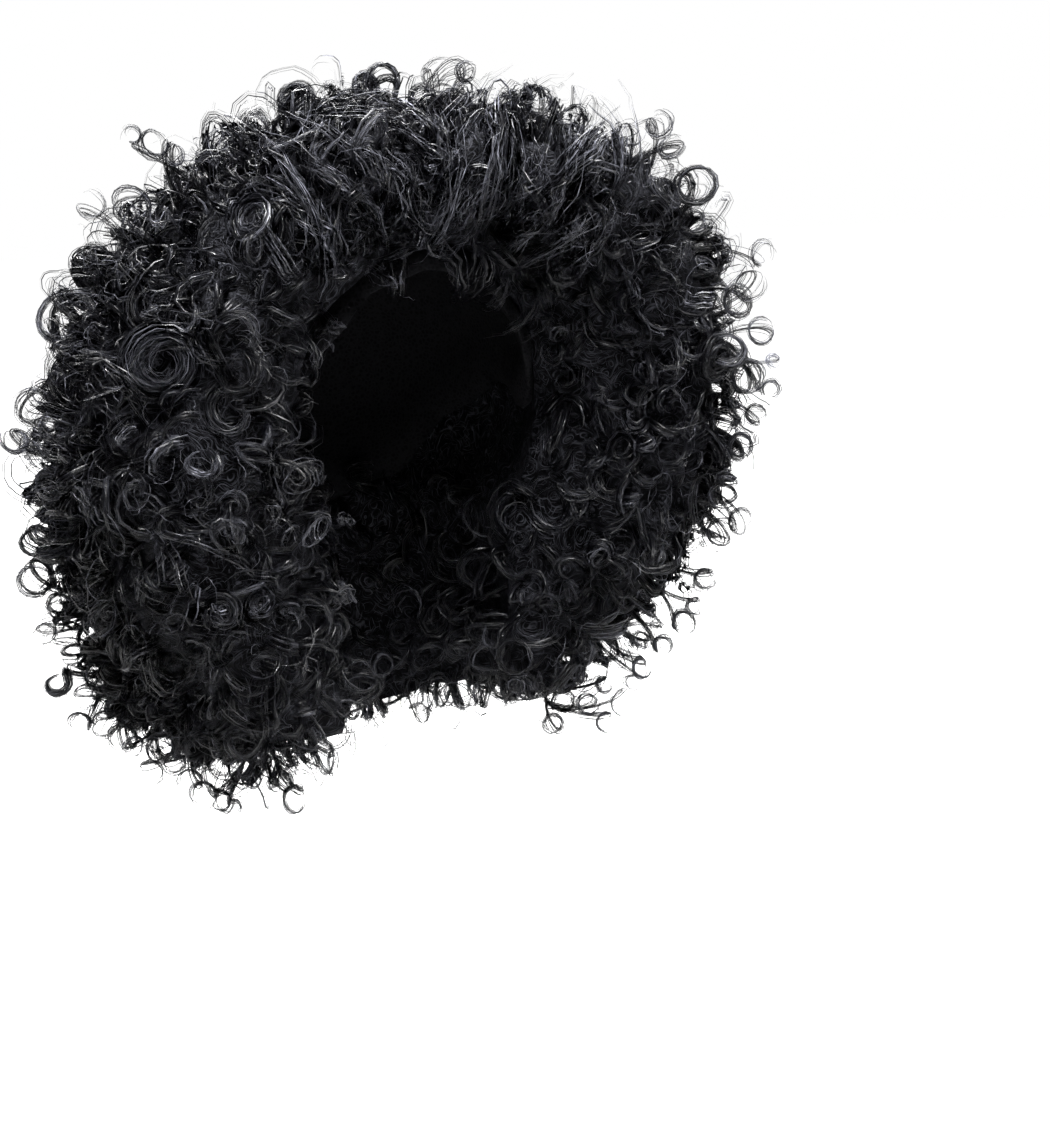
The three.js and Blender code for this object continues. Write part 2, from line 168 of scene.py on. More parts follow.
# Curls that the photograph shows plainly, on the hair's outline and facing the camera: pixel,
# radius and band in millimetres, turns
OUTLINE_CURLS = (
    (66, 318, 14.0, 3.4, 1.5), (33, 406, 11.0, 1.9, 1.3), (13, 441, 8.5, 2.2, 1.3), (50, 482, 9.5, 3.0, 1.8),
    (35, 542, 9.5, 4.0, 1.8), (35, 578, 10.0, 3.2, 1.6), (75, 621, 5.5, 1.6, 1.3), (60, 608, 8.0, 1.6, 1.4),
    (56, 684, 8.0, 3.2, 1.6), (86, 697, 8.0, 1.4, 1.2), (105, 724, 8.5, 1.8, 1.5), (134, 747, 7.0, 1.4, 1.2),
    (174, 764, 6.5, 1.5, 1.6), (204, 794, 7.5, 1.7, 1.2), (235, 806, 4.0, 1.4, 1.2), (254, 779, 5.5, 1.3, 1.4),
    (265, 762, 4.0, 1.2, 1.3), (294, 800, 8.5, 1.7, 1.5),
    (91, 204, 8.0, 0.8, 1.1), (131, 204, 11.0, 1.6, 1.6), (133, 135, 4.5, 1.0, 1.3), (154, 143, 8.0, 1.1, 1.5),
    (173, 154, 6.5, 1.1, 1.2), (253, 128, 10.0, 1.4, 1.6), (299, 101, 10.5, 4.2, 1.3), (318, 130, 12.0, 3.0, 1.1),
    (354, 126, 7.0, 2.2, 1.3), (365, 87, 9.5, 2.8, 1.6), (383, 84, 11.0, 3.0, 1.9), (443, 74, 12.5, 0.6, 1.3),
    (465, 70, 6.5, 0.9, 1.3), (456, 116, 9.0, 2.0, 1.4), (508, 112, 10.5, 2.2, 1.7), (532, 131, 9.0, 2.2, 1.2),
    (571, 161, 10.5, 2.6, 1.1), (660, 124, 8.0, 1.0, 1.4), (671, 146, 8.5, 1.6, 1.2), (697, 185, 11.5, 3.0, 2.2),
    (691, 222, 8.0, 1.0, 1.1), (761, 252, 9.5, 0.7, 1.2), (750, 286, 9.5, 0.8, 1.2), (720, 350, 10.5, 2.2, 1.6),
    (748, 377, 8.0, 1.8, 1.4), (770, 389, 5.5, 1.0, 1.5), (774, 362, 5.0, 0.7, 1.1), (756, 414, 7.0, 1.3, 1.3),
    (740, 445, 7.5, 2.4, 1.7), (719, 464, 6.5, 1.4, 1.4), (723, 497, 7.5, 1.2, 1.3), (721, 532, 8.5, 1.5, 1.4),
    (694, 607, 5.0, 1.4, 1.3), (641, 640, 5.5, 1.6, 1.4), (633, 683, 5.5, 1.0, 1.3), (623, 703, 7.5, 0.9, 1.1),
    (604, 685, 4.5, 1.6, 1.3), (524, 685, 5.0, 1.4, 1.3), (553, 724, 6.0, 1.6, 1.6),
    (95, 640, 9.0, 1.6, 1.2), (72, 655, 8.0, 1.4, 1.3), (100, 672, 9.5, 2.0, 1.4), (80, 722, 7.0, 1.6, 1.2),
    (116, 704, 8.5, 1.8, 1.3), (122, 738, 8.0, 2.0, 1.4), (152, 772, 7.0, 1.6, 1.2), (160, 748, 8.0, 2.4, 1.5),
    (190, 780, 6.5, 2.0, 1.3), (222, 802, 6.0, 1.6, 1.4), (280, 782, 6.0, 1.6, 1.3), (45, 635, 7.0, 1.2, 1.2),
    (562, 702, 6.0, 1.6, 1.3), (588, 704, 6.0, 1.8, 1.4), (606, 722, 6.5, 1.4, 1.2), (640, 668, 6.0, 1.8, 1.4),
    (664, 645, 6.5, 1.6, 1.3), (684, 622, 7.0, 1.6, 1.3), (705, 580, 7.0, 1.8, 1.4), (742, 520, 8.0, 1.4, 1.3),
    (760, 330, 9.0, 1.2, 1.2), (738, 300, 9.0, 1.8, 1.3), (540, 100, 8.0, 1.6, 1.3), (420, 100, 8.0, 2.0, 1.4),
)
FACING_CURLS = (
    (165, 308, 16.0, 1.4, 1.3), (165, 364, 18.0, 1.8, 2.6), (242, 341, 14.0, 1.6, 0.7), (235, 412, 14.0, 1.4, 0.8),
    (95, 270, 13.0, 1.4, 0.9), (303, 376, 8.5, 1.4, 1.1), (262, 600, 8.0, 1.4, 1.5), (225, 608, 8.0, 1.4, 1.3),
    (182, 660, 12.0, 1.4, 1.2), (290, 605, 7.0, 1.4, 1.8), (305, 452, 9.0, 1.0, 1.1),
)
SEARCH_REACH = 120 * MM  # before and behind the hair's centre, where such a curl finds its root
SEARCH_STEP = 4 * MM
TURN_SHINE = 0.25  # painted highlight: how much paler such a curl is for each turn past the first
CLEARED_SHARE = 0.85  # of such a curl's radius, in which no other locks grow

FRINGE_LEVEL = -0.085
FRINGE_TOP = 0.052
SPARE_SHARE = 0.03  # how far locks may stand out of the solids' box, of its side,
SPARE_ROOM = 6 * MM  # and more than that

FLOOR_LEVEL = -0.42
SKY_LIGHT = 0.02
LAMPS = (
    ("key", (-0.7, -1.4, 2.3), 1.0, 155),
    ("top", (0.1, -0.4, 2.3), 1.2, 255),
    ("fill", (1.7, -1.1, 0.8), 1.2, 38),
    ("back", (0.5, 1.9, 1.1), 1.3, 85),
)

rng = np.random.default_rng(11)


# Shapes read from the frame

def solids_tree(names):
    """A search tree over CAD nodes, and the node that each of its faces belongs to."""
    corners, faces, owners = [], [], []
    for name in names:
        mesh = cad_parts[name].data
        start = len(corners)
        corners.extend(v.co.copy() for v in mesh.vertices)
        faces.extend([start + i for i in p.vertices] for p in mesh.polygons)
        owners.extend([name] * len(mesh.polygons))
    return BVHTree.FromPolygons(corners, faces), owners


hair_tree, face_owner = solids_tree(HAIR_NODES)
cap_tree, _ = solids_tree(["cap"])


def walls_along(direction):
    """How far from its centre the hair begins and ends in a direction, or None in an opening."""
    centre = Vector(HAIR_CENTRE)
    step = 0.02 * MM
    inner = outer = None
    travelled = 0.0
    while True:
        place, normal, _, rest = hair_tree.ray_cast(centre + direction * travelled, direction)
        if place is None:
            break
        travelled += rest
        leaving = normal.dot(direction) > 0
        if inner is None:
            inner = travelled
        elif not leaving and outer is not None and travelled - outer > JOINT_GAP:
            break
        if leaving:
            outer = travelled
        travelled += step
    if outer is None or outer - inner < 2 * ROOT_DEPTH:
        return None
    return inner, outer


def unit(vectors):
    return vectors / np.linalg.norm(vectors, axis=-1, keepdims=True)


# The dense hair at the roots

def bulge(way, bulges):
    """How far the dense hair stands out of its usual place in a direction."""
    total = 0
    for middle, height in bulges:
        near = max(0, 1 - middle.angle(way) / BULGE_SPREAD)
        total += height * near * near * (3 - 2 * near)
    return total


def keep_order(bm, order):
    """Sort a mesh by its corners' numbers, because an extrusion's own order changes from run to run."""
    def number(item):
        total = 0
        for corner in sorted(v[order] for v in item.verts)[:3]:
            total = total * ORDER_STEP + corner
        return total

    bm.verts.sort(key=lambda v: v[order])
    bm.edges.sort(key=number)
    bm.faces.sort(key=number)


def dense_hair(bulges):
    """One closed shell a little inside the hair's solids, open at the face and the neck."""
    bm = bmesh.new()
    bmesh.ops.create_icosphere(bm, subdivisions=BALL_SUBDIVISIONS, radius=1.0)
    inner_reach = bm.verts.layers.float.new("inner_reach")
    walls = {v: walls_along(v.co.normalized()) for v in bm.verts}
    gone = [v for v in bm.verts if walls[v] is None]
    bmesh.ops.delete(bm, geom=gone, context="VERTS")
    bmesh.ops.delete(bm, geom=[v for v in bm.verts if not v.link_faces], context="VERTS")
    centre = Vector(HAIR_CENTRE)
    for v in bm.verts:
        inner, outer = walls[v]
        # A ray that leaves through a ringlet is far from its neighbours.
        around = sorted(walls[e.other_vert(v)][1] for e in v.link_edges)
        usual = around[len(around) // 2]
        outer = min(max(outer, usual - ROOT_DEPTH), usual + ROOT_DEPTH)
        v[inner_reach] = inner + ROOT_WALL
        way = v.co.normalized()
        dip = CREVICE_DEPTH * (1 - tuft_height(centre + way * outer))
        v.co = way * (outer - ROOT_DEPTH - dip + bulge(way, bulges))
    order = bm.verts.layers.int.new("order")
    for i, v in enumerate(bm.verts):
        v[order] = 2 * i
    made = bmesh.ops.extrude_face_region(bm, geom=list(bm.faces), use_keep_orig=True)
    for v in made["geom"]:
        if isinstance(v, bmesh.types.BMVert):
            v.co = v.co.normalized() * v[inner_reach]
            v[order] += 1
    keep_order(bm, order)
    bmesh.ops.recalc_face_normals(bm, faces=bm.faces)
    across = [e for e in bm.edges if abs(e.verts[0].co.length - e.verts[1].co.length) > 4 * ROOT_DEPTH]
    cut = bmesh.ops.subdivide_edges(bm, edges=across, cuts=WALL_CUTS, use_grid_fill=True)
    rim = {v for v in cut["geom_inner"] if isinstance(v, bmesh.types.BMVert)}
    rim |= {e.other_vert(v) for v in rim for e in v.link_edges}
    rim = [v for v in bm.verts if v in rim]
    for _ in range(EDGE_ROUNDS):
        bmesh.ops.smooth_vert(bm, verts=rim, factor=0.5, use_axis_x=True, use_axis_y=True, use_axis_z=True)
    bmesh.ops.triangulate(bm, faces=bm.faces)
    bmesh.ops.translate(bm, verts=bm.verts, vec=centre)
    mesh = bpy.data.meshes.new("hair_roots")
    bm.to_mesh(mesh)
    bm.free()
    return mesh


def smooth_cap():
    """The cap as one shell with a smooth face."""
    bm = bmesh.new()
    bm.from_mesh(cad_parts["cap"].data)
    bmesh.ops.remove_doubles(bm, verts=bm.verts, dist=0.01 * MM)
    bmesh.ops.triangulate(bm, faces=bm.faces)
    for _ in range(CAP_SPLITS):
        bmesh.ops.subdivide_edges(bm, edges=bm.edges, cuts=1, use_grid_fill=True, smooth=1.0)
    bmesh.ops.triangulate(bm, faces=bm.faces)
    mesh = bpy.data.meshes.new("cap_net")
    bm.to_mesh(mesh)
    bm.free()
    mesh.shade_smooth()
    mesh.set_sharp_from_angle(angle=CAP_EDGE_ANGLE)
    return mesh


def surface_samples(mesh, spacing, seed):
    """Points about a spacing apart over a mesh, with their outward normals."""
    pick = np.random.default_rng(seed)
    corners = np.empty(len(mesh.vertices) * 3)
    mesh.vertices.foreach_get("co", corners)
    corners = corners.reshape(-1, 3)
    faces = np.empty(len(mesh.polygons) * 3, int)
    mesh.polygons.foreach_get("vertices", faces)
    a, b, c = (corners[faces.reshape(-1, 3)[:, i]] for i in range(3))
    cross = np.cross(b - a, c - a)
    area = np.linalg.norm(cross, axis=1) / 2
    smooth = np.empty(len(mesh.vertices) * 3)
    mesh.vertices.foreach_get("normal", smooth)
    smooth = smooth.reshape(-1, 3)
    wanted = area.sum() / spacing ** 2
    tries = int(7 * wanted)
    chosen = pick.choice(len(area), tries, p=area / area.sum())
    weights = pick.dirichlet((1, 1, 1), tries)
    corner_ids = faces.reshape(-1, 3)[chosen]
    points = np.einsum("ij,ijk->ik", weights, corners[corner_ids])
    normals = unit(np.einsum("ij,ijk->ik", weights, smooth[corner_ids]))
    kept = []
    places = np.empty((tries, 3))
    for i, point in enumerate(points):
        gaps = np.sum((places[: len(kept)] - point) ** 2, axis=1)
        if not len(kept) or gaps.min() > (0.76 * spacing) ** 2:
            places[len(kept)] = point
            kept.append(i)
    return points[kept], normals[kept]


def sides_of(points, normals):
    """True where a point is on the outside of the hair, and where the cap or the neck hides it."""
    outward = np.einsum("ij,ij->i", normals, unit(points - HAIR_CENTRE))
    near_cap = np.array([cap_tree.find_nearest(Vector(p), CAP_ROOM)[0] is not None for p in points])
    return outward > 0.25, (outward < -0.5) | near_cap


# Strands

def span(range_, shape, scale=1.0):
    return rng.uniform(range_[0], range_[1], shape) * scale


def lift(point):
    """How much further the curls stand out at a point of the dense hair."""
    return LIFT * min(1, max(0, 0.3 + 1.4 * noise.noise(point / LIFT_SIZE)))


def curl_frames(points, normals, kind, flow=None):
    """Where each lock's curl lies: its centre, axes, size and height over its root."""
    count = len(points)
    if flow is None:
        flow = np.array([noise.noise_vector(Vector(p) / FLOW_SIZE) for p in points])
        flow = unit(flow) + 0.6 * rng.normal(size=(count, 3))
    way = unit(flow - np.einsum("ij,ij->i", flow, normals)[:, None] * normals)
    tilt = np.radians(span(kind["tilt"], (count, 1)))
    side = np.cross(normals, way)
    size = span(kind["curl"], (count, 1), MM)
    length = span(kind["pitch"], (count, 1), MM)
    top = span(kind["top"], (count, 1), MM) + np.array([[lift(Vector(p))] for p in points])
    out = top + ROOT_DEPTH - size * np.sin(tilt) - length / 2 * np.cos(tilt)
    return dict(
        centre=points + normals * out,
        outward=normals,
        axis=normals * np.cos(tilt) + side * np.sin(tilt),
        level=way,
        size=size,
        length=length,
        turns=span(kind["turns"], (count, 1)),
        depth=np.maximum(out, 0) + kind["entry"] * MM,
    )


def curl_paths(frames, kind, turn_way=None):
    """The middle lines of locks: an array of locks, strands, steps and coordinates, bands first, then
    wisps and single hairs. The first strand of each lock has the lock's own line."""
    count, steps = len(frames["centre"]), kind["steps"] + 1
    strands = kind["bands"] + kind["wisps"] + kind["hairs"]

    def each(array):
        return array[:, None, None, :]

    def scattered(amount, places=1):
        """Random values for each strand, none for the first."""
        values = rng.normal(0, amount, (count, strands, 1, places))
        values[:, 0] = 0
        return values

    along = np.linspace(0, 1, steps)[None, None, :, None]
    if turn_way is None:
        turn_way = rng.choice((-1.0, 1.0), (count, 1, 1, 1))
    turns = each(frames["turns"]) * (1 + scattered(0.07))
    angle = 2 * np.pi * turn_way * (turns * along + scattered(0.04)) + np.pi * (turn_way < 0)
    flare = rng.uniform(*kind["flare"], (count, 1, 1, 1))
    width = each(frames["size"]) * (1 + scattered(kind["fan"])) * (1 + flare * along)
    squeeze = rng.uniform(*SQUEEZE, (count, 1, 1, 1))
    rise = unit(np.cross(frames["axis"], frames["level"]))
    rise = rise * np.where(np.einsum("ij,ij->i", rise, frames["outward"]) < 0, -1, 1)[:, None]
    paths = each(frames["centre"]) + each(frames["axis"] * frames["length"]) * (along - 0.5)
    paths = paths + width * (each(frames["level"]) * squeeze * np.cos(angle) + each(rise) * np.sin(angle))
    paths = paths + scattered(kind["spread"] * MM / 1.6, 3)
    for waves in (0.6, 1.3, 2.9, 5.3):
        phase = rng.uniform(0, 2 * np.pi, (count, strands, 1, 3))
        height = kind["wobble"] * MM / (0.7 + waves) * (0.3 + 1.2 * along)
        paths = paths + height * np.sin(2 * np.pi * waves * along + phase)
    share = STEM_SHARE + STEM_GROWTH * each(np.maximum(frames["depth"] - 0.012, 0))
    stem = np.clip(1 - along / np.minimum(share, 0.5), 0, 1) ** 1.6
    return paths - each(frames["outward"] * frames["depth"]) * stem


def tuft_height(point):
    """From 0 in the dips between the tufts to 1 on top of them."""
    return min(1, 3 * max(noise.noise(Vector(point) / TUFT_SIZE, noise_basis="VORONOI_F2F1"), 0))


def open_air(point):
    """Painted shade: from little beside the cap, where the hair is in its own shade, to 1 away from it."""
    return min(1, max(DARKEST, (cap_tree.find_nearest(Vector(point))[3] - 6 * MM) / DARK_REACH))


def strand_shades(roots, strands):
    """A shade from 0 to 1 for each strand, alike within a lock, a random tone with painted shade that darkens it
    between the tufts and beside the cap.
    """
    lock = rng.beta(1.5, 2.6, (len(roots), 1))
    # painted shade in the dips between the tufts
    lock = lock * np.array([0.3 + 0.9 * tuft_height(root) for root in roots])[:, None]
    shades = lock + rng.normal(0, 0.14, (len(roots), strands))
    # painted shade beside the cap
    return shades * np.array([open_air(root) for root in roots])[:, None]


class Strands:
    """Strands gathered for one piece until it is made."""

    def __init__(self):
        self.parts = []

    def add(self, paths, widths, shades, flatness, on_map):
        self.parts.append((paths, widths, shades, flatness, on_map))

    def mesh(self, name):
        meshes = [tube_arrays(*part) for part in self.parts]
        starts = np.cumsum([0] + [len(m[0]) for m in meshes[:-1]])
        mesh = bpy.data.meshes.new(name)
        corners = np.concatenate([m[0] for m in meshes])
        quads = np.concatenate([m[1] + s for m, s in zip(meshes, starts)])
        ends = np.concatenate([m[2] + s for m, s in zip(meshes, starts)])
        mesh.vertices.add(len(corners))
        mesh.vertices.foreach_set("co", corners.ravel())
        loops = np.concatenate((quads.ravel(), ends.ravel()))
        mesh.loops.add(len(loops))
        mesh.loops.foreach_set("vertex_index", loops)
        mesh.polygons.add(len(quads) + len(ends))
        firsts = np.concatenate(
            (np.arange(len(quads)) * 4, len(quads) * 4 + np.arange(len(ends)) * 3)
        )
        mesh.polygons.foreach_set("loop_start", firsts)
        layer = mesh.uv_layers.new(name="OFBake")
        places = np.concatenate([m[3] for m in meshes] + [m[4] for m in meshes])
        layer.uv.foreach_set("vector", places.ravel())
        mesh.update(calc_edges=True)
        mesh.shade_smooth()
        return mesh


def tube_arrays(paths, widths, shades, flatness, on_map):
    """Corners, side faces, end faces and map places of closed tubes that taper to their tips.
    Across, the map holds a strand's shade, and along, how far it is from its root."""
    count, steps, _ = paths.shape
    sides = STRAND_SIDES
    tangents = unit(np.gradient(paths, axis=1))
    normals = np.empty_like(paths)
    normals[:, 0] = unit(np.cross(tangents[:, 0], rng.normal(size=(count, 3))))
    for k in range(1, steps):
        carried = normals[:, k - 1]
        along = np.einsum("ij,ij->i", carried, tangents[:, k])[:, None] * tangents[:, k]
        normals[:, k] = unit(carried - along)
    binormals = np.cross(tangents, normals) * flatness
    turn = 2 * np.pi * (np.arange(sides) + 0.25) / sides
    ring = normals[:, :, None] * np.cos(turn)[:, None] + binormals[:, :, None] * np.sin(turn)[:, None]
    share = np.linspace(0, 1, steps)
    taper = np.minimum(1, 0.3 + 2.4 * (1 - share))
    corners = paths[:, :, None] + ring * (widths[:, None] / 2 * taper)[:, :, None, None]
    first = (np.arange(count) * steps * sides)[:, None, None]
    base = first + (np.arange(steps - 1) * sides)[None, :, None]
    side = np.arange(sides)[None, None, :]
    following = (side + 1) % sides
    quads = np.stack((base + side, base + following, base + sides + following, base + sides + side), -1)
    last = (first + (steps - 1) * sides)[:, 0, 0]
    first = first[:, 0, 0]
    backs = first[:, None] + np.arange(sides)[::-1]
    fronts = last[:, None] + np.arange(sides)
    band = np.floor(shades * (SHADES - 1)) / SHADES
    edges = (on_map[0] + (on_map[1] - on_map[0]) * SIDE_EDGES) / SHADES
    left = band[:, None, None] + edges[side] + 0 * base
    right = band[:, None, None] + edges[side + 1] + 0 * base
    low = (share[:-1] * 0.96 + 0.02)[None, :, None] + 0 * left
    high = (share[1:] * 0.96 + 0.02)[None, :, None] + 0 * left
    places = np.stack([np.stack(p, -1) for p in ((left, low), (right, low), (right, high), (left, high))], -2)
    middle = band[:, None] + edges[[0, 2, 1]][None, :]
    tip = np.stack((middle, np.array((0.0, 0.0, 0.02))[None, :] + 0 * middle), -1)
    end = np.stack((middle, np.array((0.98, 0.98, 1.0))[None, :] + 0 * middle), -1)
    return (
        corners.reshape(-1, 3),
        quads.reshape(-1, 4),
        np.concatenate((backs, fronts)),
        places.reshape(-1, 2),
        np.concatenate((tip, end)).reshape(-1, 2),
    )


# Materials

def new_material(name):
    material = bpy.data.materials.new(name)
    material.use_nodes = True
    nodes = material.node_tree.nodes
    return material, nodes, material.node_tree.links, nodes["Principled BSDF"]


def math_node(nodes, links, operation, *inputs):
    """A math node's output. Each input is a number or another node's output."""
    node = nodes.new("ShaderNodeMath")
    node.operation = operation
    for socket, value in zip(node.inputs, inputs):
        if isinstance(value, (int, float)):
            socket.default_value = value
        else:
            links.new(value, socket)
    return node.outputs[0]


def strand_material():
    """Single hairs show across a band, with gaps between them. Their colour holds painted light: painted shade at the
    roots, so that the tips are paler, and painted highlights in dashes along the hairs.
    """
    material, nodes, links, shader = new_material("curl strands")
    place = nodes.new("ShaderNodeUVMap")
    place.uv_map = "OFBake"
    parts = nodes.new("ShaderNodeSeparateXYZ")
    links.new(place.outputs["UV"], parts.inputs[0])
    shade, along = parts.outputs["X"], parts.outputs["Y"]

    def hair_noise(times_along, low, high, least, detail=1):
        """Noise that is fine across the hairs and long along them, from least to 1."""
        stretch = nodes.new("ShaderNodeCombineXYZ")
        links.new(math_node(nodes, links, "MULTIPLY", shade, HAIRS_ACROSS * SHADES), stretch.inputs["X"])
        links.new(math_node(nodes, links, "MULTIPLY", along, times_along), stretch.inputs["Y"])
        hairs = nodes.new("ShaderNodeTexNoise")
        hairs.inputs["Scale"].default_value = 1
        hairs.inputs["Detail"].default_value = detail
        links.new(stretch.outputs[0], hairs.inputs["Vector"])
        level = nodes.new("ShaderNodeMapRange")
        level.inputs["From Min"].default_value = low
        level.inputs["From Max"].default_value = high
        level.inputs["To Min"].default_value = least
        links.new(hairs.outputs["Fac"], level.inputs["Value"])
        return level.outputs[0]

    # painted shade, darkest at the roots and gone six tenths of the way along
    root_shade = nodes.new("ShaderNodeMapRange")
    root_shade.inputs["To Min"].default_value = 0.15
    root_shade.inputs["From Max"].default_value = 0.6
    links.new(along, root_shade.inputs["Value"])
    # painted highlights: dashes where the hairs catch the light, times the painted root shade and the strand's shade
    lit = math_node(nodes, links, "MULTIPLY", hair_noise(DASHES, 0.4, 0.68, 0.15), root_shade.outputs[0])
    lit = math_node(nodes, links, "MULTIPLY", lit, math_node(nodes, links, "ADD", shade, 0.12))
    lit = math_node(nodes, links, "POWER", lit, 1.5)
    # from near black up to the pale blue-grey of the painted highlights
    ramp = nodes.new("ShaderNodeValToRGB")
    ramp.color_ramp.elements[0].color = (0.0006, 0.0006, 0.0010, 1)
    ramp.color_ramp.elements[1].color = (0.45, 0.46, 0.55, 1)
    links.new(lit, ramp.inputs["Fac"])
    links.new(ramp.outputs["Color"], shader.inputs["Base Color"])
    across = math_node(nodes, links, "FRACT", math_node(nodes, links, "MULTIPLY", shade, SHADES))
    single = math_node(nodes, links, "LESS_THAN", across, (HAIR_MAP[1] + BAND_MAP[0]) / 2)
    dense = math_node(nodes, links, "LESS_THAN", across, (BAND_MAP[1] + WISP_MAP[0]) / 2)
    dense = math_node(nodes, links, "MULTIPLY", dense, hair_noise(GAPS, 0.46, 0.53, 0.0, detail=2))
    shown = math_node(nodes, links, "MAXIMUM", single, dense)
    shown = math_node(nodes, links, "MAXIMUM", shown, hair_noise(GAPS, 0.59, 0.64, 0.0, detail=2))
    links.new(shown, shader.inputs["Alpha"])
    shader.inputs["Roughness"].default_value = 0.3
    shader.inputs["Specular IOR Level"].default_value = 0.3
    return material


def curled_hairs_group():
    """Hairs that curl round scattered centres, drawn as broken arcs. Curls and dashes are counted
    in each metre, and hairs in each curl."""
    group = bpy.data.node_groups.new("curled hairs", "ShaderNodeTree")
    for name, kind in (("Place", "NodeSocketVector"), ("Curls", "NodeSocketFloat"),
                       ("Dashes", "NodeSocketFloat"), ("Hairs", "NodeSocketFloat")):
        group.interface.new_socket(name, in_out="INPUT", socket_type=kind)
    group.interface.new_socket("Height", in_out="OUTPUT", socket_type="NodeSocketFloat")
    nodes, links = group.nodes, group.links
    given = nodes.new("NodeGroupInput")
    made = nodes.new("NodeGroupOutput")
    centres = nodes.new("ShaderNodeTexVoronoi")
    links.new(given.outputs["Place"], centres.inputs["Vector"])
    links.new(given.outputs["Curls"], centres.inputs["Scale"])
    spots = nodes.new("ShaderNodeVectorMath")
    spots.operation = "SCALE"
    links.new(given.outputs["Place"], spots.inputs[0])
    links.new(given.outputs["Dashes"], spots.inputs["Scale"])
    hairs = nodes.new("ShaderNodeTexNoise")
    hairs.noise_dimensions = "4D"
    hairs.inputs["Scale"].default_value = 1
    hairs.inputs["Detail"].default_value = 1
    links.new(spots.outputs[0], hairs.inputs["Vector"])
    across = math_node(nodes, links, "MULTIPLY", centres.outputs["Distance"], given.outputs["Hairs"])
    links.new(across, hairs.inputs["W"])
    links.new(hairs.outputs["Fac"], made.inputs["Height"])
    return group


def roots_material():
    """Two layers of curled hairs, large curls and tight ones, on near black: drawn hairs, whose pale broken arcs are
    painted highlights.
    """
    material, nodes, links, shader = new_material("dense roots")
    place = nodes.new("ShaderNodeTexCoord")
    warp = nodes.new("ShaderNodeTexNoise")
    warp.inputs["Scale"].default_value = 45
    warp.inputs["Detail"].default_value = 1
    links.new(place.outputs["Object"], warp.inputs["Vector"])
    moved = nodes.new("ShaderNodeVectorMath")
    moved.operation = "MULTIPLY_ADD"
    moved.inputs[1].default_value = (0.014, 0.014, 0.014)
    links.new(warp.outputs["Color"], moved.inputs[0])
    links.new(place.outputs["Object"], moved.inputs[2])
    group = curled_hairs_group()
    layers = []
    for curls, dashes, hairs_in_curl in ((52, 110, 46), (110, 190, 24)):
        layer = nodes.new("ShaderNodeGroup")
        layer.node_tree = group
        links.new(moved.outputs[0], layer.inputs["Place"])
        layer.inputs["Curls"].default_value = curls
        layer.inputs["Dashes"].default_value = dashes
        layer.inputs["Hairs"].default_value = hairs_in_curl
        layers.append(layer.outputs["Height"])
    height = math_node(nodes, links, "MAXIMUM", *layers)
    ramp = nodes.new("ShaderNodeValToRGB")
    ramp.color_ramp.elements[0].position = 0.55
    ramp.color_ramp.elements[0].color = (0.0005, 0.0005, 0.0008, 1)
    ramp.color_ramp.elements[1].position = 0.72
    ramp.color_ramp.elements[1].color = (0.042, 0.043, 0.051, 1)
    links.new(height, ramp.inputs["Fac"])
    links.new(ramp.outputs["Color"], shader.inputs["Base Color"])
    bump = nodes.new("ShaderNodeBump")
    bump.inputs["Distance"].default_value = 0.8 * MM
    bump.inputs["Strength"].default_value = 1.0
    links.new(height, bump.inputs["Height"])
    links.new(bump.outputs["Normal"], shader.inputs["Normal"])
    shader.inputs["Roughness"].default_value = 0.6
    shader.inputs["Specular IOR Level"].default_value = 0.03
    return material


def cap_material():
    material, nodes, links, shader = new_material("cap net")
    place = nodes.new("ShaderNodeTexCoord")
    cells = nodes.new("ShaderNodeTexVoronoi")
    cells.feature = "DISTANCE_TO_EDGE"
    cells.inputs["Scale"].default_value = 420
    links.new(place.outputs["Object"], cells.inputs["Vector"])
    ramp = nodes.new("ShaderNodeValToRGB")
    ramp.color_ramp.elements[0].position = 0.08
    ramp.color_ramp.elements[0].color = (0.007, 0.007, 0.008, 1)
    ramp.color_ramp.elements[1].position = 0.3
    ramp.color_ramp.elements[1].color = (0.002, 0.002, 0.0025, 1)
    links.new(cells.outputs["Distance"], ramp.inputs["Fac"])
    links.new(ramp.outputs["Color"], shader.inputs["Base Color"])
    bump = nodes.new("ShaderNodeBump")
    bump.inputs["Distance"].default_value = 0.5 * MM
    bump.invert = True
    links.new(cells.outputs["Distance"], bump.inputs["Height"])
    links.new(bump.outputs["Normal"], shader.inputs["Normal"])
    shader.inputs["Roughness"].default_value = 0.85
    shader.inputs["Specular IOR Level"].default_value = 0.05
    return material


# The camera

def camera_axes():
    a, e, r = CAMERA_AZIMUTH, CAMERA_ELEVATION, CAMERA_ROLL
    back = Vector((math.sin(a) * math.cos(e), -math.cos(a) * math.cos(e), math.sin(e)))
    right = Vector((math.cos(a), math.sin(a), 0))
    up = back.cross(right)
    turned = right * math.cos(r) + up * math.sin(r)
    return turned, back.cross(turned), back


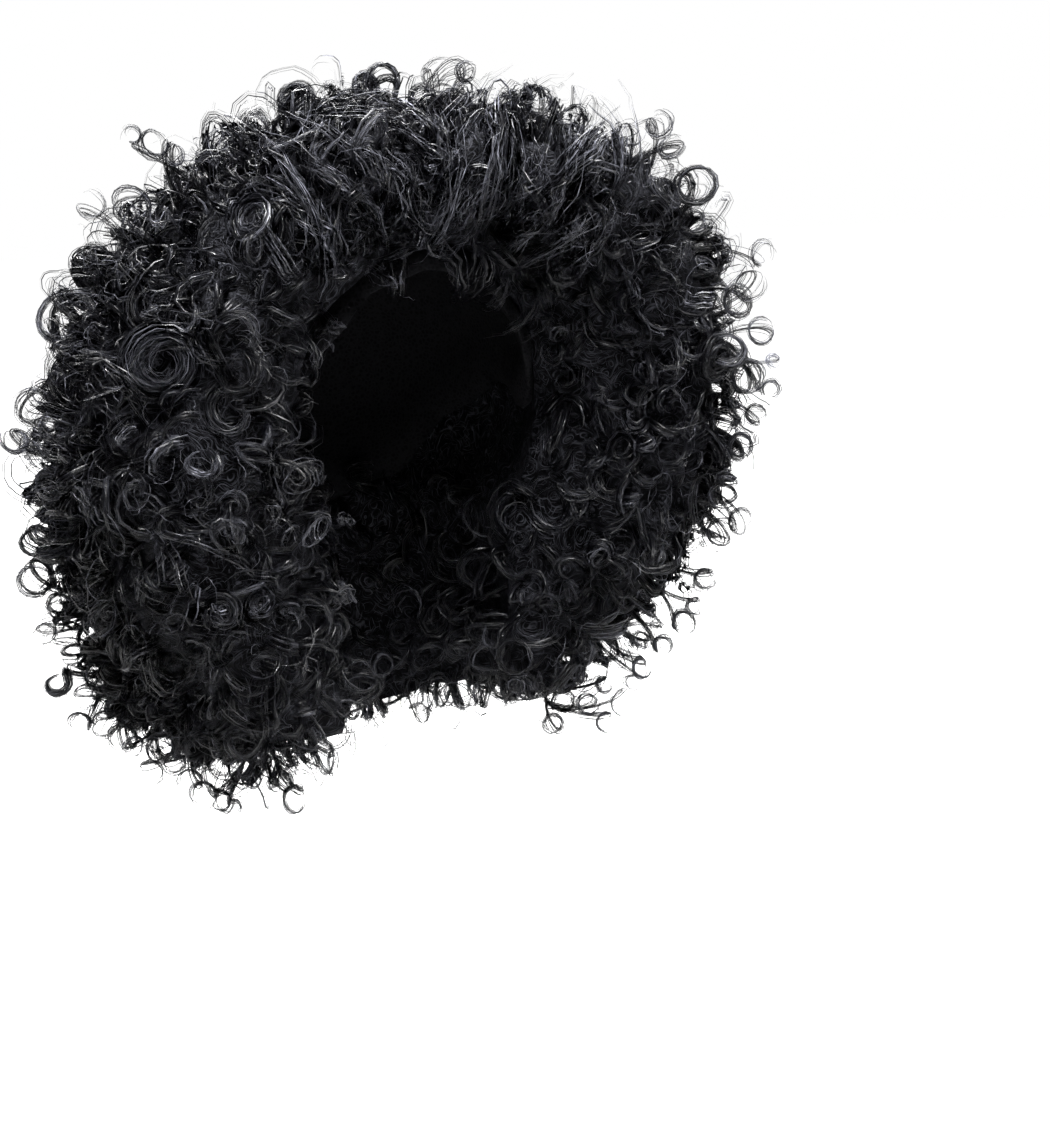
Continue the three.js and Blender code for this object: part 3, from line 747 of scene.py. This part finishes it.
def place_camera():
    """The camera looks past the hair's centre, so that the centre lies where it does in the photograph."""
    right, up, back = camera_axes()
    eye = Vector(HAIR_CENTRE) + back * CAMERA_DISTANCE
    aside = FRAME_WIDTH / 2 - CENTRE_PIXEL[0]
    below = FRAME_HEIGHT / 2 - CENTRE_PIXEL[1]
    ahead = (-back * FOCAL_PIXELS + right * aside - up * below).normalized()
    across = (right - ahead * right.dot(ahead)).normalized()
    over = across.cross(ahead)
    data = bpy.data.cameras.new("camera")
    data.sensor_width = SENSOR
    data.lens = FOCAL_PIXELS / max(FRAME_WIDTH, FRAME_HEIGHT) * SENSOR
    data.clip_start, data.clip_end = 0.05, 60
    camera = bpy.data.objects.new("camera", data)
    camera.matrix_world = Matrix.Translation(eye) @ Matrix((across, over, -ahead)).transposed().to_4x4()
    bpy.context.collection.objects.link(camera)
    bpy.context.scene.camera = camera
    return camera


def view_line(camera, x, y):
    """The camera's place and the way that it sees a pixel."""
    across, over, back, eye = (Vector(camera.matrix_world.col[i][:3]) for i in range(4))
    way = across * (x - FRAME_WIDTH / 2) - over * (y - FRAME_HEIGHT / 2) - back * FOCAL_PIXELS
    return eye, way.normalized()


def add_piece(name, mesh, material, slot, *nodes):
    piece = bpy.data.objects.new(name, mesh)
    bpy.context.collection.objects.link(piece)
    mesh.materials.append(material)
    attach(piece, "root")
    if nodes:
        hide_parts(*nodes)
    return piece


# The studio

def shown_white(tree, bright):
    """The light path's output that tells what the camera sees from what lights the hair."""
    path = tree.nodes.new("ShaderNodeLightPath")
    level = tree.nodes.new("ShaderNodeMapRange")
    level.inputs["To Min"].default_value = bright
    level.inputs["To Max"].default_value = 1.0
    tree.links.new(path.outputs["Is Camera Ray"], level.inputs["Value"])
    return level.outputs[0]


def studio():
    """A white room: a pale floor, a large lamp at the upper left and a weak one at the right."""
    floor_mesh = bpy.data.meshes.new("floor")
    bm = bmesh.new()
    bmesh.ops.create_circle(bm, cap_ends=True, segments=96, radius=14)
    bmesh.ops.translate(bm, verts=bm.verts, vec=(0, 0, FLOOR_LEVEL))
    bm.to_mesh(floor_mesh)
    bm.free()
    floor = bpy.data.objects.new("floor", floor_mesh)
    bpy.context.collection.objects.link(floor)
    pale, _, links, shader = new_material("pale floor")
    shader.inputs["Base Color"].default_value = (0.36, 0.36, 0.36, 1)
    shader.inputs["Roughness"].default_value = 0.9
    shader.inputs["Emission Color"].default_value = (1, 1, 1, 1)
    links.new(shown_white(pale.node_tree, 0.0), shader.inputs["Emission Strength"])
    floor_mesh.materials.append(pale)
    world = bpy.data.worlds.new("studio")
    world.use_nodes = True
    sky = world.node_tree.nodes["Background"]
    sky.inputs["Color"].default_value = (1, 1, 1, 1)
    world.node_tree.links.new(shown_white(world.node_tree, SKY_LIGHT), sky.inputs["Strength"])
    bpy.context.scene.world = world
    for name, place, size, power in LAMPS:
        data = bpy.data.lights.new(name, "AREA")
        data.size, data.energy = size, power
        lamp = bpy.data.objects.new(name, data)
        aim = Vector(HAIR_CENTRE) - Vector(place)
        lamp.matrix_world = Matrix.Translation(place) @ aim.to_track_quat("-Z", "Y").to_matrix().to_4x4()
        bpy.context.collection.objects.link(lamp)
    bpy.context.scene.view_settings.view_transform = "Standard"


# The wig

camera = place_camera()
studio()

strand_look = strand_material()

bulges = []
for x, y, height in BULGES:
    eye, way = view_line(camera, x, y)
    aside = eye + way * (Vector(HAIR_CENTRE) - eye).dot(way) - Vector(HAIR_CENTRE)
    bulges.append((aside.normalized(), height * MM))
roots_mesh = dense_hair(bulges)
roots_mesh.shade_smooth()
roots_tree = BVHTree.FromPolygons(
    [v.co.copy() for v in roots_mesh.vertices], [tuple(p.vertices) for p in roots_mesh.polygons]
)
gathered = {name: Strands() for name in HAIR_NODES}
lowest, highest = (np.array(corner) for corner in cad_box)
room = SPARE_SHARE * (highest - lowest) + SPARE_ROOM
lowest, highest = lowest - room, highest + room


def gather(frames, kind, thickness=HAIR_THICKNESS, shine=0.0, **options):
    """Locks for the pieces of the solids that their roots are nearest to."""
    paths = curl_paths(frames, kind, **options)
    within = (paths > lowest).all(axis=(1, 2, 3)) & (paths < highest).all(axis=(1, 2, 3))
    roots = frames["centre"] - frames["outward"] * frames["depth"]
    # a kind's painted light moves its shade: up for a painted highlight, down for a painted shade
    shades = strand_shades(roots, paths.shape[1]) + shine
    # painted highlight on single hairs
    shades[:, kind["bands"] + kind["wisps"]:] += SINGLE_SHINE
    shades = np.clip(shades, 0, 1)
    widths = span(kind["band"], paths.shape[:2], MM)
    if "band" in frames:
        widths[:] = frames["band"][:, None]
    first_hair = kind["bands"] + kind["wisps"]
    widths[:, kind["bands"]:first_hair] = span(WISP_WIDTH, (len(paths), kind["wisps"]), MM)
    widths[:, first_hair:] = thickness
    sorts = (
        (slice(0, kind["bands"]), BAND_FLATNESS, BAND_MAP),
        (slice(kind["bands"], first_hair), WISP_FLATNESS, WISP_MAP),
        (slice(first_hair, None), 1, HAIR_MAP),
    )
    owner = np.array([face_owner[hair_tree.find_nearest(Vector(p))[2]] for p in roots])
    for name in HAIR_NODES:
        mine = (owner == name) & within
        for strands, flatness, on_map in sorts:
            lines = paths[mine, strands].reshape(-1, *paths.shape[2:])
            if len(lines):
                gathered[name].add(
                    lines, widths[mine, strands].ravel(), shades[mine, strands].ravel(), flatness, on_map
                )


def scattered_locks(spacing, seed, kind, choose, **options):
    """Locks of one kind all over the dense hair where choose says so."""
    points, normals = surface_samples(roots_mesh, spacing, seed)
    outside, hidden = sides_of(points, normals)
    wanted = choose(points, outside, hidden)
    points, normals = points[wanted], normals[wanted]
    print(seed, len(points))
    gather(curl_frames(points, normals, kind), kind, **options)


def fringe_share(points):
    """From 0 to 1, how much a point belongs to the brushed-up hair over the face."""
    way = unit(points - HAIR_CENTRE)
    front = np.clip((-way[:, 1] - 0.35) / 0.25, 0, 1)
    high = np.clip((points[:, 2] - FRINGE_LEVEL) / 0.03, 0, 1)
    middle = np.clip((0.62 - np.abs(way[:, 0])) / 0.25, 0, 1)
    low = np.clip((FRINGE_TOP - points[:, 2]) / 0.03, 0, 1)
    return front * high * middle * low


def photo_frames(rows):
    """Curl frames for the curls that the photograph shows, each in sight of the camera."""
    _, _, back = camera_axes()
    centres, outwards, depths = [], [], []
    for x, y, *_ in rows:
        eye, way = view_line(camera, x, y)
        place, normal, _, _ = roots_tree.ray_cast(eye, way)
        if place is None:
            middle = (Vector(HAIR_CENTRE) - eye).dot(way)
            tries = [eye + way * (middle + ahead) for ahead in np.arange(-SEARCH_REACH, SEARCH_REACH, SEARCH_STEP)]
            centre = min(tries, key=lambda point: roots_tree.find_nearest(point)[3])
            root = roots_tree.find_nearest(centre)[0]
            depth = (centre - root).length
            outward = (centre - root) / depth
        else:
            outward = ((place - Vector(HAIR_CENTRE)).normalized() + 3 * back).normalized()
            depth = ROOT_DEPTH + 1.5 * MM
            centre = place + outward * depth
        centres.append(centre)
        outwards.append(outward)
        depths.append(depth + 3 * MM)
    centres, outwards = np.array(centres), np.array(outwards)
    facing = np.tile(np.array(back), (len(rows), 1)) + 0.22 * rng.normal(size=(len(rows), 3))
    axis = unit(facing)
    level = unit(np.cross(axis, outwards))
    return dict(
        centre=centres,
        outward=outwards,
        axis=axis,
        level=level,
        size=np.array([row[2] for row in rows])[:, None] * MM,
        length=rng.uniform(1, 6, (len(rows), 1)) * MM,
        turns=np.array([row[4] for row in rows])[:, None],
        depth=np.array(depths)[:, None],
        band=np.array([row[3] for row in rows]) * MM,
    )


gather(photo_frames(OUTLINE_CURLS), PHOTO_RINGS)
rosette_frames = photo_frames(FACING_CURLS)
# painted highlights on the facing curls, paler for more turns
gather(rosette_frames, PHOTO_ROSETTES, shine=TURN_SHINE * (rosette_frames["turns"] - 1))


def clear(points):
    """True where no rosette of the photograph needs the room."""
    gaps = np.linalg.norm(points[:, None] - rosette_frames["centre"][None], axis=2)
    return (gaps > CLEARED_SHARE * rosette_frames["size"][:, 0] + ROOT_DEPTH / 2).all(axis=1)




def hangs_open(points):
    """True low down and at the back, where the curls are looser."""
    return (points[:, 2] <= LOW_LEVEL) | (points[:, 1] > BACK_DEPTH)


scattered_locks(
    FIELD_SPACING, 1, FIELD,
    lambda p, out, hid: ~hid & clear(p) & ~hangs_open(p) & (rng.random(len(p)) > 0.8 * fringe_share(p)),
)
# the looser curls low down and at the back get painted shade
scattered_locks(
    FIELD_SPACING, 1, OPEN_FIELD, lambda p, out, hid: ~hid & clear(p) & hangs_open(p), shine=OPEN_SHINE,
)
scattered_locks(INNER_SPACING, 2, FIELD, lambda p, out, hid: hid & (p[:, 2] < -0.16))
scattered_locks(RING_SPACING, 3, RINGS, lambda p, out, hid: ~hid & clear(p))
scattered_locks(LOW_RING_SPACING, 7, HANGING, lambda p, out, hid: ~hid & clear(p) & (p[:, 2] < LOW_LEVEL))
scattered_locks(ROSETTE_SPACING, 4, ROSETTES, lambda p, out, hid: out & clear(p) & (fringe_share(p) < 0.5))
scattered_locks(FRIZZ_SPACING, 5, FRIZZ, lambda p, out, hid: out)
# fine single hairs get painted highlights
scattered_locks(FINE_SPACING, 9, FINE, lambda p, out, hid: out & clear(p), shine=0.3, thickness=FINE_THICKNESS)



def upward_flow(points):
    """The way that the hair over the face is brushed, up and aside."""
    upward = points - np.stack((0 * points[:, 0], points[:, 1], 0 * points[:, 2] + HAIR_CENTRE[2]), -1)
    return unit(upward) + 0.35 * rng.normal(size=points.shape)


points, normals = surface_samples(roots_mesh, BRUSHED_SPACING, 6)
outside, hidden = sides_of(points, normals)
brushed = outside & (rng.random(len(points)) < fringe_share(points))
points, normals = points[brushed], normals[brushed]
print(6, len(points))
# painted highlight on the brushed hair over the face, which the light from above makes paler
gather(curl_frames(points, normals, BRUSHED, flow=upward_flow(points)), BRUSHED, turn_way=-1.0, shine=0.2)

# The edge of the cap that the dense hair leaves bare
cap_mesh = smooth_cap()
points, normals = surface_samples(cap_mesh, EDGE_SPACING, 8)
bare = np.array([
    hair_tree.ray_cast(Vector(p + n * SEAT_ROOM), Vector(n), EDGE_REACH)[0] is None for p, n in zip(points, normals)
])
bare &= np.einsum("ij,ij->i", normals, unit(points - HAIR_CENTRE)) > 0.3
points, normals = points[bare], normals[bare]
print(8, len(points))
gather(curl_frames(points, normals, EDGE, flow=upward_flow(points)), EDGE, turn_way=-1.0)

add_piece("cap_net", cap_mesh, cap_material(), "cap", "cap")
add_piece("hair_roots", roots_mesh, roots_material(), "hair")
total = len(roots_mesh.polygons)
for name, strands in gathered.items():
    mesh = strands.mesh(name + "_curls")
    faces = sum(len(p.vertices) - 2 for p in mesh.polygons)
    total += faces
    print(name, faces)
    add_piece(name + "_curls", mesh, strand_look, "hair", name)
print("triangles", total)
